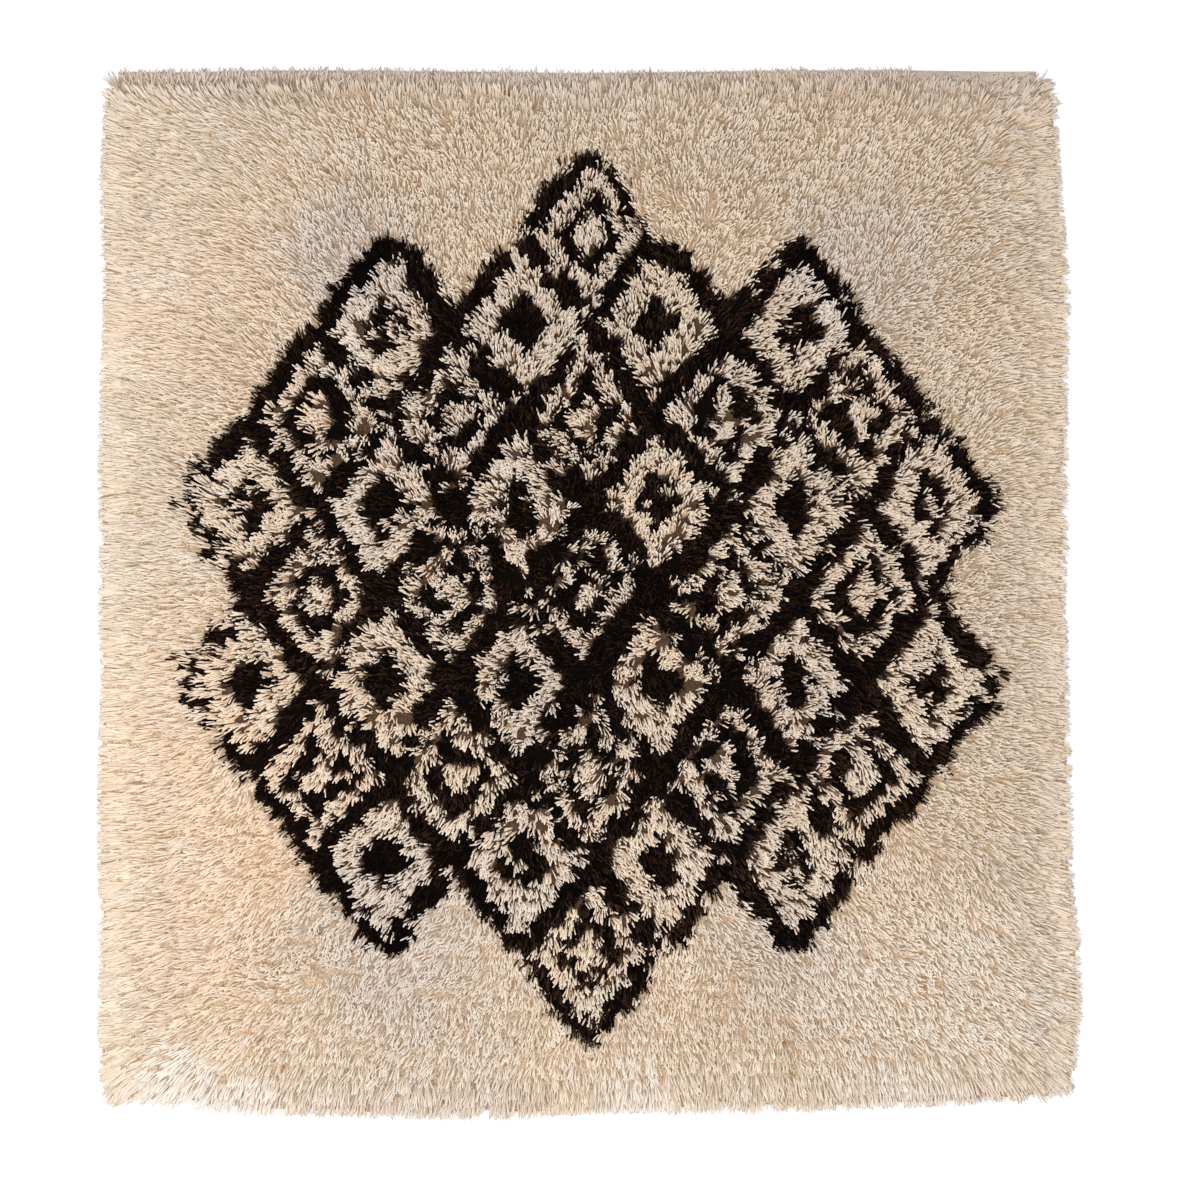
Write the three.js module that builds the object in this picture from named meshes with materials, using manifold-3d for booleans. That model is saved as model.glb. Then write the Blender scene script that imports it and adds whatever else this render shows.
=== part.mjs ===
// A rya rug lying flat: a woven ground cloth, and a long knotted wool pile that covers it and falls over
// its edges in locks. Millimetres, with X to the right, Y towards the top edge and Z up from the floor.
// The origin is the middle of the underside.
import * as THREE from "three";
import { mergeVertices } from "three/addons/utils/BufferGeometryUtils.js";
import Module from "manifold-3d";

const wasm = await Module();
wasm.setup();

// Thicknesses and heights
const CLOTH_THICKNESS = 3;
const HEM_THICKNESS = 5; // the cloth turned over on itself at its two ends
const HEM_WIDTH = 28;
const PILE_HEIGHT = 35; // of the leaning pile, above the floor
const RIM_HEIGHT = 13; // of the pile where it meets the floor
const SHOULDER = 78; // the breadth over which the pile falls from its full height to the rim
const LUMP_HEIGHT = 6.5; // tufts stand this much above or below the pile's mean height
const SWELL_HEIGHT = 2; // the broad unevenness of a used rug
const SEAT_GAP = 0.3; // between the cloth and the pile that is knotted into it

// Half the rug's nominal size, which the sides below depart from
const HALF_WIDTH = 705;
const HALF_LENGTH = 757;

// How far the pile's tips reach from the rug's middle, at places along each side
const PILE_TOP = [
  { at: -705, reach: 748 },
  { at: -610, reach: 755 },
  { at: -480, reach: 758 },
  { at: -300, reach: 756 },
  { at: -60, reach: 752 },
  { at: 180, reach: 753 },
  { at: 430, reach: 756 },
  { at: 495, reach: 748 },
  { at: 640, reach: 749 },
  { at: 705, reach: 744 },
];
const PILE_RIGHT = [
  { at: -757, reach: 714 },
  { at: -690, reach: 718 },
  { at: -625, reach: 715 },
  { at: -577, reach: 721 },
  { at: -530, reach: 712 },
  { at: -440, reach: 702 },
  { at: -290, reach: 700 },
  { at: -175, reach: 693 },
  { at: -140, reach: 697 },
  { at: -55, reach: 688 },
  { at: 50, reach: 695 },
  { at: 280, reach: 696 },
  { at: 500, reach: 697 },
  { at: 590, reach: 687 },
  { at: 757, reach: 688 },
];
const PILE_BOTTOM = [
  { at: -705, reach: 736 },
  { at: -620, reach: 750 },
  { at: -480, reach: 759 },
  { at: -275, reach: 763 },
  { at: -100, reach: 764 },
  { at: 40, reach: 757 },
  { at: 300, reach: 754 },
  { at: 510, reach: 747 },
  { at: 610, reach: 741 },
  { at: 705, reach: 727 },
];
const PILE_LEFT = [
  { at: -757, reach: 724 },
  { at: -690, reach: 720 },
  { at: -600, reach: 712 },
  { at: -552, reach: 715 },
  { at: -499, reach: 706 },
  { at: -450, reach: 717 },
  { at: -270, reach: 714 },
  { at: -50, reach: 712 },
  { at: 200, reach: 713 },
  { at: 560, reach: 709 },
  { at: 710, reach: 713 },
  { at: 757, reach: 706 },
];
// The cloth ends just past the pile at the top, where its hem shows, and is tucked under it elsewhere
const CLOTH_TOP = [
  { at: -705, reach: 752 },
  { at: -480, reach: 760 },
  { at: 0, reach: 756 },
  { at: 640, reach: 759 },
  { at: 705, reach: 755 },
];
const CLOTH_TUCK = { right: 36, bottom: 36, left: 26 };

// Corners are drawn in by this share of the half size, over a stretch set by the power
const PILE_CORNER = 0.01;
const CLOTH_CORNER = 0.004;
const CORNER_POWER = 24;
const CLOTH_STEPS = 20; // of the cloth's outline along each side

// The pile's surface is a net of tufts, closer together down its shoulders
const RIM_STATIONS = [0, 14, 34, 58];
const TUFT_PITCH = 34;

// A lock of pile at the rim: half widths and heights of its three-sided section, from inside the pile
// outwards. It ends in a point, and its underside is level.
const LOCK_PITCH = 29;
const LOCK_TIP_INSET = 19; // the rim lies this far inside the tips
const LOCK_SECTIONS = [
  { out: -10, half: 13.5, height: 12 },
  { out: 7, half: 9.5, height: 9.5 },
];
const LOCK_TIP_HEIGHT = 2;
const LOCK_SPARE = 5; // how much longer or shorter a lock may be
const LOCK_LEAN = 0.38; // radians either way

const CREAM = 0xe3d1b9;
const LINEN = 0xc9b491;

const { lerp, clamp, seededRandom } = THREE.MathUtils;

// A smooth curve of reach against place along one side.
function side(table) {
  const places = table.map((row) => row.at);
  const reaches = table.map((row) => row.reach);
  const curve = new THREE.CubicInterpolant(places, reaches, 1);
  return (at) => curve.evaluate(clamp(at, places[0], places[places.length - 1]))[0];
}

const pileTips = {
  top: side(PILE_TOP),
  right: side(PILE_RIGHT),
  bottom: side(PILE_BOTTOM),
  left: side(PILE_LEFT),
};
const clothTop = side(CLOTH_TOP);
const pileRim = inset(pileTips, LOCK_TIP_INSET);
const clothEdge = {
  top: clothTop,
  right: (at) => pileTips.right(at) - CLOTH_TUCK.right,
  bottom: (at) => pileTips.bottom(at) - CLOTH_TUCK.bottom,
  left: (at) => pileTips.left(at) - CLOTH_TUCK.left,
};

// The same four sides, moved inwards.
function inset(sides, by) {
  const moved = Object.entries(sides).map(([name, reach]) => [name, (at) => reach(at) - by]);
  return Object.fromEntries(moved);
}

// The point at u, v of the area within four sides. u and v run from -1 to 1.
function place(sides, corner, u, v) {
  const [x, y] = [u * HALF_WIDTH, v * HALF_LENGTH];
  const across = lerp(-sides.left(y), sides.right(y), (u + 1) / 2);
  const along = lerp(-sides.bottom(x), sides.top(x), (v + 1) / 2);
  const drawnX = across * (1 - corner * Math.abs(v) ** CORNER_POWER);
  const drawnY = along * (1 - corner * Math.abs(u) ** CORNER_POWER);
  return new THREE.Vector2(drawnX, drawnY);
}

// A number from -1 to 1 that is always the same for the same two whole numbers.
function chance(i, j) {
  return 2 * seededRandom(i * 7919 + j * 104729 + 17) - 1;
}

function toSolid(geometry) {
  geometry.deleteAttribute("normal");
  geometry.deleteAttribute("uv");
  const merged = mergeVertices(geometry, 1e-3);
  return new wasm.Manifold(
    new wasm.Mesh({
      numProp: 3,
      vertProperties: merged.attributes.position.array,
      triVerts: new Uint32Array(merged.index.array),
    }),
  );
}

function toMesh(solid, name, colour, roughness) {
  const { vertProperties, triVerts } = solid.getMesh();
  const geometry = new THREE.BufferGeometry();
  geometry.setAttribute("position", new THREE.BufferAttribute(new Float32Array(vertProperties), 3));
  geometry.setIndex(new THREE.BufferAttribute(new Uint32Array(triVerts), 1));
  geometry.computeVertexNormals();
  const material = new THREE.MeshStandardMaterial({ color: colour, roughness, metalness: 0 });
  const mesh = new THREE.Mesh(geometry, material);
  mesh.name = name;
  return mesh;
}

// A closed body from points, each an [x, y, z], and faces, each the numbers of its three points.
function body(points, faces) {
  const geometry = new THREE.BufferGeometry();
  geometry.setAttribute("position", new THREE.Float32BufferAttribute(points.flat(), 3));
  geometry.setIndex(faces.flat());
  return toSolid(geometry);
}

// The part of the cloth from v = low to v = high, as an upright prism.
function clothPrism(sides, low, high, thickness) {
  const runs = Array.from({ length: CLOTH_STEPS + 1 }, (_, i) => lerp(-1, 1, i / CLOTH_STEPS));
  const rises = low === -1 && high === 1 ? runs.slice(1, -1) : [];
  const points = [
    ...runs.map((u) => place(sides, CLOTH_CORNER, u, low)),
    ...rises.map((v) => place(sides, CLOTH_CORNER, 1, v)),
    ...runs.map((u) => place(sides, CLOTH_CORNER, -u, high)),
    ...rises.map((v) => place(sides, CLOTH_CORNER, -1, -v)),
  ];
  const shape = new THREE.Shape(points);
  return toSolid(new THREE.ExtrudeGeometry(shape, { depth: thickness, bevelEnabled: false }));
}

// The ground cloth with a hem at each end. Grown by a clearance, it is the hollow under the pile.
function clothSolid(clearance) {
  const sides = inset(clothEdge, -clearance);
  const hem = (HEM_WIDTH + 2 * clearance) / HALF_LENGTH;
  return clothPrism(sides, -1, 1, CLOTH_THICKNESS + clearance)
    .add(clothPrism(sides, 1 - hem, 1, HEM_THICKNESS + clearance))
    .add(clothPrism(sides, -1, -1 + hem, HEM_THICKNESS + clearance));
}

// Places across the pile, from -1 to 1: close together at the two rims and a tuft apart between them.
function stations(halfSize) {
  const inner = halfSize - RIM_STATIONS[RIM_STATIONS.length - 1];
  const tufts = Math.round((2 * inner) / TUFT_PITCH);
  const middle = Array.from({ length: tufts - 1 }, (_, i) => lerp(-inner, inner, (i + 1) / tufts));
  const rim = RIM_STATIONS.map((d) => halfSize - d);
  return [...rim.map((d) => -d), ...middle, ...rim.reverse()].map((d) => d / halfSize);
}

function pileHeight(u, v, i, j) {
  const fall = (distance) => Math.sin((Math.PI / 2) * Math.min(1, distance / SHOULDER));
  const fullness = fall((1 - Math.abs(u)) * HALF_WIDTH) * fall((1 - Math.abs(v)) * HALF_LENGTH);
  const swell = SWELL_HEIGHT * Math.sin(4.1 * u + 1.3 * v) * Math.cos(3.2 * v - 1.7 * u);
  const lump = LUMP_HEIGHT * chance(i, j);
  return RIM_HEIGHT + fullness * (PILE_HEIGHT - RIM_HEIGHT + swell + lump);
}

// The body of the pile: a lumpy top, an upright rim and a level underside.
function pileSlab() {
  const columns = stations(HALF_WIDTH);
  const rows = stations(HALF_LENGTH);
  const [nx, ny] = [columns.length, rows.length];
  const points = [];
  for (const [j, v] of rows.entries()) {
    for (const [i, u] of columns.entries()) {
      const { x, y } = place(pileRim, PILE_CORNER, u, v);
      points.push([x, y, pileHeight(u, v, i, j)]);
    }
  }
  const faces = [];
  for (let j = 0; j < ny - 1; j++) {
    for (let i = 0; i < nx - 1; i++) {
      const a = j * nx + i;
      const [b, c, d] = [a + 1, a + nx + 1, a + nx];
      const rising = (i + j) % 2 === 0;
      faces.push(...(rising ? [[a, b, c], [a, c, d]] : [[a, b, d], [b, c, d]]));
    }
  }
  const rim = [
    ...Array.from({ length: nx - 1 }, (_, i) => i),
    ...Array.from({ length: ny - 1 }, (_, j) => j * nx + nx - 1),
    ...Array.from({ length: nx - 1 }, (_, i) => ny * nx - 1 - i),
    ...Array.from({ length: ny - 1 }, (_, j) => (ny - 1 - j) * nx),
  ];
  const first = points.length;
  points.push(...rim.map((k) => [points[k][0], points[k][1], 0]));
  rim.forEach((upper, k) => {
    const next = (k + 1) % rim.length;
    faces.push([upper, first + k, first + next], [upper, first + next, rim[next]]);
  });
  const contour = rim.map((k) => new THREE.Vector2(points[k][0], points[k][1]));
  for (const [a, b, c] of THREE.ShapeUtils.triangulateShape(contour, [])) {
    faces.push([first + a, first + c, first + b]);
  }
  return body(points, faces);
}

// One tapering lock that leaves the rim at a point and lies outwards with its underside level.
function lock(root, outwards, reach, level) {
  const across = new THREE.Vector2(-outwards.y, outwards.x);
  const points = LOCK_SECTIONS.flatMap(({ out, half, height }) => {
    const middle = root.clone().addScaledVector(outwards, out);
    const right = middle.clone().addScaledVector(across, -half);
    const left = middle.clone().addScaledVector(across, half);
    return [
      [right.x, right.y, level],
      [left.x, left.y, level],
      [middle.x, middle.y, level + height],
    ];
  });
  const tip = root.clone().addScaledVector(outwards, reach);
  points.push([tip.x, tip.y, level + LOCK_TIP_HEIGHT / 2]);
  const faces = [
    [0, 2, 1],
    [0, 1, 3], [1, 4, 3],
    [1, 2, 4], [2, 5, 4],
    [2, 0, 5], [0, 3, 5],
    [3, 4, 6], [4, 5, 6], [5, 3, 6],
  ];
  return body(points, faces);
}

// The places of the locks round the rim, as u and v, a lock's pitch apart on each side.
function lockPlaces() {
  const wide = Math.floor((2 * HALF_WIDTH) / LOCK_PITCH);
  const long = Math.floor((2 * HALF_LENGTH) / LOCK_PITCH);
  const spread = (count) => Array.from({ length: count }, (_, i) => lerp(-1, 1, (i + 0.5) / count));
  return [
    ...spread(wide).map((u) => ({ u, v: -1 })),
    ...spread(long).map((v) => ({ u: 1, v })),
    ...spread(wide).map((u) => ({ u: -u, v: 1 })),
    ...spread(long).map((v) => ({ u: -1, v: -v })),
  ];
}

function pileSolid() {
  const turn = (t) => Math.sign(t) * Math.abs(t) ** (CORNER_POWER / 2);
  const pivot = new THREE.Vector2();
  const hollow = clothSolid(SEAT_GAP);
  let pile = pileSlab();
  for (const [k, { u, v }] of lockPlaces().entries()) {
    const root = place(pileRim, PILE_CORNER, u, v);
    const outwards = new THREE.Vector2(turn(u), turn(v)).normalize();
    outwards.rotateAround(pivot, LOCK_LEAN * chance(k, 1));
    const reach = LOCK_TIP_INSET + LOCK_SPARE * chance(k, 2);
    const level = v === 1 ? HEM_THICKNESS + SEAT_GAP : 0;
    pile = pile.add(lock(root, outwards, reach, level));
  }
  return pile.subtract(hollow);
}

const rug = new THREE.Group();
rug.add(toMesh(clothSolid(0), "ground_cloth", LINEN, 0.95));
rug.add(toMesh(pileSolid(), "knotted_pile", CREAM, 0.9));
const middle = new THREE.Box3().setFromObject(rug).getCenter(new THREE.Vector3());
rug.position.set(-middle.x, -middle.y, 0);

export default rug;
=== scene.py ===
# A rya rug lying on a pale floor, seen from straight above: a woven ground cloth, and a long wool pile that
# is knotted into it row by row. Metres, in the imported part's frame: X to the right, Y to the top edge, Z up.
import math

import bpy
import numpy as np
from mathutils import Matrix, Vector, noise


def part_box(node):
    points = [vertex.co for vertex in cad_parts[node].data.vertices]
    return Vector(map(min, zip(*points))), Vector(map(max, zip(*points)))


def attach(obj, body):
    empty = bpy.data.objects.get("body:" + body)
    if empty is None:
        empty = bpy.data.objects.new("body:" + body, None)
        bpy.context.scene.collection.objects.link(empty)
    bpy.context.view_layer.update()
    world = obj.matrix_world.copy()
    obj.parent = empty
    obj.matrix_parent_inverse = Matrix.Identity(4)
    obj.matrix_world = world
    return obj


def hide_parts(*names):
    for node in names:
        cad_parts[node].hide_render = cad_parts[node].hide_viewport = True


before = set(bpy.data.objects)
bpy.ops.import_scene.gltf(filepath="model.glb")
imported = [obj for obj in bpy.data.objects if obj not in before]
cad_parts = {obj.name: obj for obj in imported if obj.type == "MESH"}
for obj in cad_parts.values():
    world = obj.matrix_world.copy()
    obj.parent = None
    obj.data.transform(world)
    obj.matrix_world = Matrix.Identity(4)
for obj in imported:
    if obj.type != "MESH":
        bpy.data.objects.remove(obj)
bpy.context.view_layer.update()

# Knots and their yarn
KNOT_PITCH = 0.0098  # along a row
ROW_PITCH = 0.0142
PILE_LENGTH = 0.038
RIM_LENGTH = 0.049
YARN_RADIUS = 0.0013
KNOT_INSET = {"left": 0.010, "right": 0.008, "bottom": 0.005, "top": 0.025}  # from the cloth's edges
STAGGER = 0.25  # share of the knots' pitch by which every row lies to one side, in turns
RIM_COLUMNS, RIM_ROWS = 3, 2
TOP_STRIP_ROWS = 2  # these lie over the upper hem
UNEVEN_ROWS = 2  # so many rows below them lie as unevenly as they do
STRIP_FOOT = 0.12  # the bed fills the pile over the hem to this share of its length, but for the topmost row
# How far each knot strays by its own chance
STRAY = {
    "x": 0.0009,
    "y": 0.0006,
    "y near the top": 0.0040,
    "azimuth": 0.22,
    "tilt": math.radians(7),
    "length": 0.05,
    "tone": 0.12,
    "dye": 0.06,
}
# The ends of yarn in each knot, by how the pile lies: their number, the shares of their length at which they
# bend with their breadth there, whether they end in a soft point, and how far they draw together to a tuft
YARN = {
    "rim": {"ends": 9, "rings": ((0, 1), (0.45, 1), (0.88, 0.9)), "pointed": True, "drawn": 0},
    "strip": {"ends": 6, "rings": ((0, 1), (0.45, 1), (0.84, 0.9)), "pointed": True, "drawn": 0.6},
    "combed": {"ends": 7, "rings": ((0, 1), (0.80, 1)), "pointed": True, "drawn": 0},
    "cream": {"ends": 8, "rings": ((0, 0.85), (1, 0.92)), "pointed": False, "drawn": 0.05},
    "lozenge": {"ends": 10, "rings": ((0, 0.85), (1, 0.92)), "pointed": False, "drawn": 0},
    "brown": {"ends": 7, "rings": ((0, 0.85), (1, 0.92)), "pointed": False, "drawn": 0},
}
FUZZ_SCALE = 420.0  # how fine the yarn's fuzz is
BED_ENDS_SCALE = 400.0  # how fine the ends of yarn in the bed are
BED_BROWN_FROM = 0.62  # where the bed turns brown, between 0 in cream pile and 1 in brown
UNEVEN_RIM = 0.0015  # how unevenly the ends of yarn stop along the rug's edge
UNEVEN_STRIP = 0.005  # and over the upper hem
# The rows of knots show by painted shade: a row's lower ends are painted darker, its upper ends lighter
ROW_SHADE = 0.9  # how much darker the lower ends of a row are, where the rows show
# How strongly the roots are painted with shade in the middle, or in the lozenges and over the hem, and how
# much less so at the sides and where the pile lies calmly
ROOT_SHADE = {"middle": 0.80, "drawing": 0.90, "left": 0.50, "right": 0.35, "calm": 0.20}
PARTS = {"cream": 3, "lozenge": 2, "brown": 2}  # the pile of each kind is made as so many pieces
BED_SHARE = (0.46, 0.62)  # the bed fills the pile to these shares of its length: in the middle, at the rim
BED_SINK = 0.35  # share of its height that it lies lower at the rim, under the combed ends
BED_LIP = 0.20  # how much more of the length of the outermost knots' ends it fills, lower down
LOCK_SIZE = 0.026  # the pile parts into locks about this broad
LOCK_PULL = 0.18  # how strongly a knot leans to the middle of its lock
LOCK_TWIST = 0.022  # how far a lock turns as a whole
STRIP_LOCK = 0.014  # how broad the locks over the upper hem are
MAP_CELLS = (176, 104)  # each end of yarn has one cell of its piece's map
MAP_NAME = "OFBake"

# The ground cloth
CLOTH_THICKNESS = 0.003
HEM_THICKNESS = 0.005
HEM_WIDTH = 0.028
CLOTH_STATIONS = 121

# How the pile lies: combed outwards along each side, fully up to one breadth and fading over the next, and
# more upright in the middle
COMBED = {"left": (0.040, 0.20), "right": (0.030, 0.13), "bottom": (0.025, 0.09), "top": (0.042, 0.045)}
TOP_LEFT_COMBED = 1.8  # how many times as far the left side's combing fades in the top left corner
UPRIGHT_ROOT = math.radians(12)
UPRIGHT_TIP = math.radians(46)
COMBED_ROOT = math.radians(64)
COMBED_TIP = math.radians(106)
# Zones of the rug: how far out each one starts, and after how much more it is full
TOP_LEFT = (0.20, 0.35)
CALM_BELOW = (0.15, 0.30)
ROWS_LEFT = (0.30, 0.12)
ROWS_LOWER = (-0.05, 0.15)
ROWS_BOTTOM = (0.25, 0.20)
STRIP_RIGHT = (0.40, 0.20)
STRIP_LEFT = (0.62, 0.06)
HEM_BARE = {"from": 0.465, "to": 0.645, "breadth": 0.012}  # where the pile leaves the upper hem bare
PAST_RIM = {"left": 0.002, "right": 0.001, "bottom": 0.005, "top": 0.001}  # how far the ends pass the outline
OUTWARDS = 1.5  # how strongly the sides turn the pile to them
FROM_MIDDLE = (0.75, 0.70)  # how strongly it leans away from the rug's middle
SWIRL, TUFT = 0.30, 0.20  # and how strongly in broad swirls and in small tufts

# The lattice of brown lozenges. Widths inside a lozenge are shares of its size.
LOZENGE = (0.193, 0.254)
FIELD = (0.50, 0.53)  # how far out the middle of a lozenge may be, to the sides and up or down
LINE_HALF = 0.130  # half the breadth of the lines between the lozenges
LINE_WAVE = 0.006  # how far they stray from straight
RING = (0.13, 0.28)  # every other lozenge has a brown ring, from and to these shares
HEART = (0.0, 0.19)  # and the others have a brown heart
STRAY_KNOTS = 0.06  # share of the brown knots' places that hold a cream one

# Places where the wool's colour drifts, as on a rug knotted from several dye lots: middle, radius, amounts
DYE_LOTS = (
    {"x": -0.335, "y": 0.480, "radius": 0.11, "grey": 0.9, "warm": 0.0},
    {"x": -0.300, "y": -0.480, "radius": 0.15, "grey": 0.8, "warm": 0.0},
    {"x": 0.390, "y": 0.470, "radius": 0.12, "grey": 0.7, "warm": 0.0},
    {"x": 0.270, "y": -0.520, "radius": 0.12, "grey": 0.5, "warm": 0.0},
    {"x": -0.200, "y": -0.640, "radius": 0.16, "grey": 0.4, "warm": 0.0},
    {"x": -0.560, "y": -0.300, "radius": 0.30, "grey": 0.0, "warm": 0.7},
    {"x": -0.500, "y": 0.420, "radius": 0.22, "grey": 0.0, "warm": 0.5},
)
BLEACHED = (
    {"x": -0.575, "y": -0.700, "radius": 0.055, "share": 1.0},
    {"x": -0.490, "y": -0.715, "radius": 0.040, "share": 1.0},
    {"x": -0.340, "y": 0.330, "radius": 0.050, "share": 0.5},
    {"x": 0.060, "y": -0.690, "radius": 0.050, "share": 0.5},
    {"x": 0.500, "y": -0.600, "radius": 0.180, "share": 0.4},
)

# The photograph's frame: its breadth at the height of the pile, and the point of the rug in its middle
PICTURE_WIDTH = 1.712
PICTURE_MIDDLE = (0.0009, 0.0062)
CAMERA_HEIGHT = 3.8
PILE_TOP = 0.025


# Helpers


def smoothstep(value):
    held = np.clip(value, 0, 1)
    return held * held * (3 - 2 * held)


def zone(outwards, start, breadth):
    """From 0 where a zone of the rug starts to 1 where it is full."""
    return smoothstep((outwards - start) / breadth)


def drift(x, y, size, seed):
    """A smooth random number from about -1 to 1 at each place. It changes over the given distance."""
    gain = 1.6
    return np.array([gain * noise.noise(Vector((a / size, b / size, seed))) for a, b in zip(x, y)])


def locks(x, y, size, seed):
    """The way from each place to the middle of its lock, in shares of the size, and the lock's own chance."""
    rng = np.random.default_rng(seed)
    cells = 128  # the pattern repeats only after so many locks, past the rug's edge
    middles = rng.uniform(0.1, 0.9, (2, cells, cells))
    chances = rng.normal(0, 1, (cells, cells))
    nearest = np.full(len(x), np.inf)
    way_x, way_y, chance = np.zeros(len(x)), np.zeros(len(x)), np.zeros(len(x))
    for step_x in (-1, 0, 1):
        for step_y in (-1, 0, 1):
            cell_x = np.floor(x / size).astype(int) + step_x
            cell_y = np.floor(y / size).astype(int) + step_y
            spot = cell_x % cells, cell_y % cells
            to_x = cell_x + middles[0][spot] - x / size
            to_y = cell_y + middles[1][spot] - y / size
            closer = np.hypot(to_x, to_y) < nearest
            nearest = np.where(closer, np.hypot(to_x, to_y), nearest)
            way_x, way_y = np.where(closer, to_x, way_x), np.where(closer, to_y, way_y)
            chance = np.where(closer, chances[spot], chance)
    return way_x, way_y, chance


def new_object(name, mesh):
    made = bpy.data.objects.new(name, mesh)
    bpy.context.scene.collection.objects.link(made)
    return made


def new_mesh(name, points, faces, smooth=True):
    mesh = bpy.data.meshes.new(name)
    mesh.from_pydata(points, [], faces)
    mesh.polygons.foreach_set("use_smooth", [smooth] * len(mesh.polygons))
    mesh.update()
    return mesh


def give_numbers(mesh, name, values):
    """Stores one number for each vertex under a name."""
    attribute = mesh.attributes.new(name, "FLOAT", "POINT")
    attribute.data.foreach_set("value", np.asarray(values))


class Net:
    """Adds nodes to one tree. A value that is a socket is linked, and any other value is set."""

    def __init__(self, tree):
        self.tree = tree

    def add(self, kind, values=None, **settings):
        node = self.tree.nodes.new(kind)
        for name, setting in settings.items():
            setattr(node, name, setting)
        for key, value in (values or {}).items():
            self.put(node.inputs[key], value)
        return node

    def put(self, socket, value):
        if isinstance(value, bpy.types.NodeSocket):
            self.tree.links.new(value, socket)
        else:
            socket.default_value = value

    def maths(self, operation, *values):
        node = self.add("ShaderNodeMath", dict(enumerate(values)), operation=operation)
        return node.outputs[0]

    def vectors(self, operation, *values):
        node = self.add("ShaderNodeVectorMath", dict(enumerate(values)), operation=operation)
        return node.outputs[0]

    def point(self, x=0.0, y=0.0, z=0.0):
        return self.add("ShaderNodeCombineXYZ", {"X": x, "Y": y, "Z": z}).outputs[0]

    def parts(self, vector):
        return self.add("ShaderNodeSeparateXYZ", {0: vector}).outputs

    def sockets(self, inputs, outputs):
        """Gives the tree named sockets, and returns its inputs and a function that sets its outputs."""
        for way, rows in (("INPUT", inputs), ("OUTPUT", outputs)):
            for name, kind, *value in rows:
                socket = self.tree.interface.new_socket(name, in_out=way, socket_type="NodeSocket" + kind)
                if value:
                    socket.default_value = value[0]
        start = self.add("NodeGroupInput").outputs
        end = self.add("NodeGroupOutput").inputs
        return start, lambda name, value: self.put(end[name], value)


# Shader groups


def mixed(net, share, first, second, way="MIX"):
    values = {0: share, 6: first, 7: second}
    return net.add("ShaderNodeMix", values, data_type="RGBA", blend_type=way).outputs[2]


def mapped(net, value, low, high, to_low, to_high):
    values = {"Value": value, "From Min": low, "From Max": high, "To Min": to_low, "To Max": to_high}
    return net.add("ShaderNodeMapRange", values).outputs[0]


def stored(net, name):
    return net.add("ShaderNodeAttribute", attribute_name=name).outputs["Fac"]


def object_noise(net, scale, detail=2.0):
    place = net.add("ShaderNodeTexCoord").outputs["Object"]
    values = {"Vector": place, "Scale": scale, "Detail": detail}
    return net.add("ShaderNodeTexNoise", values).outputs[0]


def yarn_group():
    """The colour and relief of one end of yarn: its dye lot, its own tone, painted shade towards its root, and
    its twist.
    """
    net = Net(bpy.data.node_groups.new("wool_yarn", "ShaderNodeTree"))
    given, put = net.sockets(
        [
            ("Deep", "Color"),
            ("Pale", "Color"),
            ("Grey lot", "Color"),
            ("Warm lot", "Color"),
            ("Bleached", "Color"),
            ("Fleck", "Color"),
            ("Fleck share", "Float"),
            ("Root", "Color"),
            ("Tone bias", "Float", 1.0),
            ("Twists", "Float", 9.0),
        ],
        [("Colour", "Color"), ("Height", "Float")],
    )
    tone = net.maths("POWER", stored(net, "tone"), given["Tone bias"])
    colour = mixed(net, tone, given["Deep"], given["Pale"])
    colour = mixed(net, stored(net, "greyed"), colour, given["Grey lot"])
    colour = mixed(net, stored(net, "warmed"), colour, given["Warm lot"])
    colour = mixed(net, stored(net, "bleached"), colour, given["Bleached"])
    flecked = net.maths("LESS_THAN", stored(net, "chance"), given["Fleck share"])
    colour = mixed(net, flecked, colour, given["Fleck"])
    fuzz = object_noise(net, FUZZ_SCALE)
    shade = mapped(net, fuzz, 0.3, 0.7, 0.95, 1.04)
    shade = net.maths("MULTIPLY", shade, mapped(net, stored(net, "tone"), 0.0, 0.9, 0.91, 1.03))
    colour = mixed(net, 1.0, colour, net.point(shade, shade, shade), "MULTIPLY")
    # Painted shade: towards its root each end is darkened by the root colour, as strongly as its knot's share
    # of shade says
    depth = mapped(net, stored(net, "along"), 0.2, 0.92, 1.0, 0.0)
    depth = net.maths("MULTIPLY", depth, stored(net, "shaded"))
    put("Colour", mixed(net, depth, colour, given["Root"], "MULTIPLY"))
    cell = net.add("ShaderNodeUVMap", uv_map=MAP_NAME).outputs[0]
    cell = net.vectors("FRACTION", net.vectors("MULTIPLY", cell, (*MAP_CELLS, 0.0)))
    around, _, _ = net.parts(cell)
    turns = net.maths("MULTIPLY_ADD", stored(net, "along"), given["Twists"], around)
    ply = net.maths("SINE", net.maths("MULTIPLY", turns, 2 * math.tau))
    put("Height", net.maths("MULTIPLY_ADD", ply, 0.3, fuzz))
    return net.tree


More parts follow.
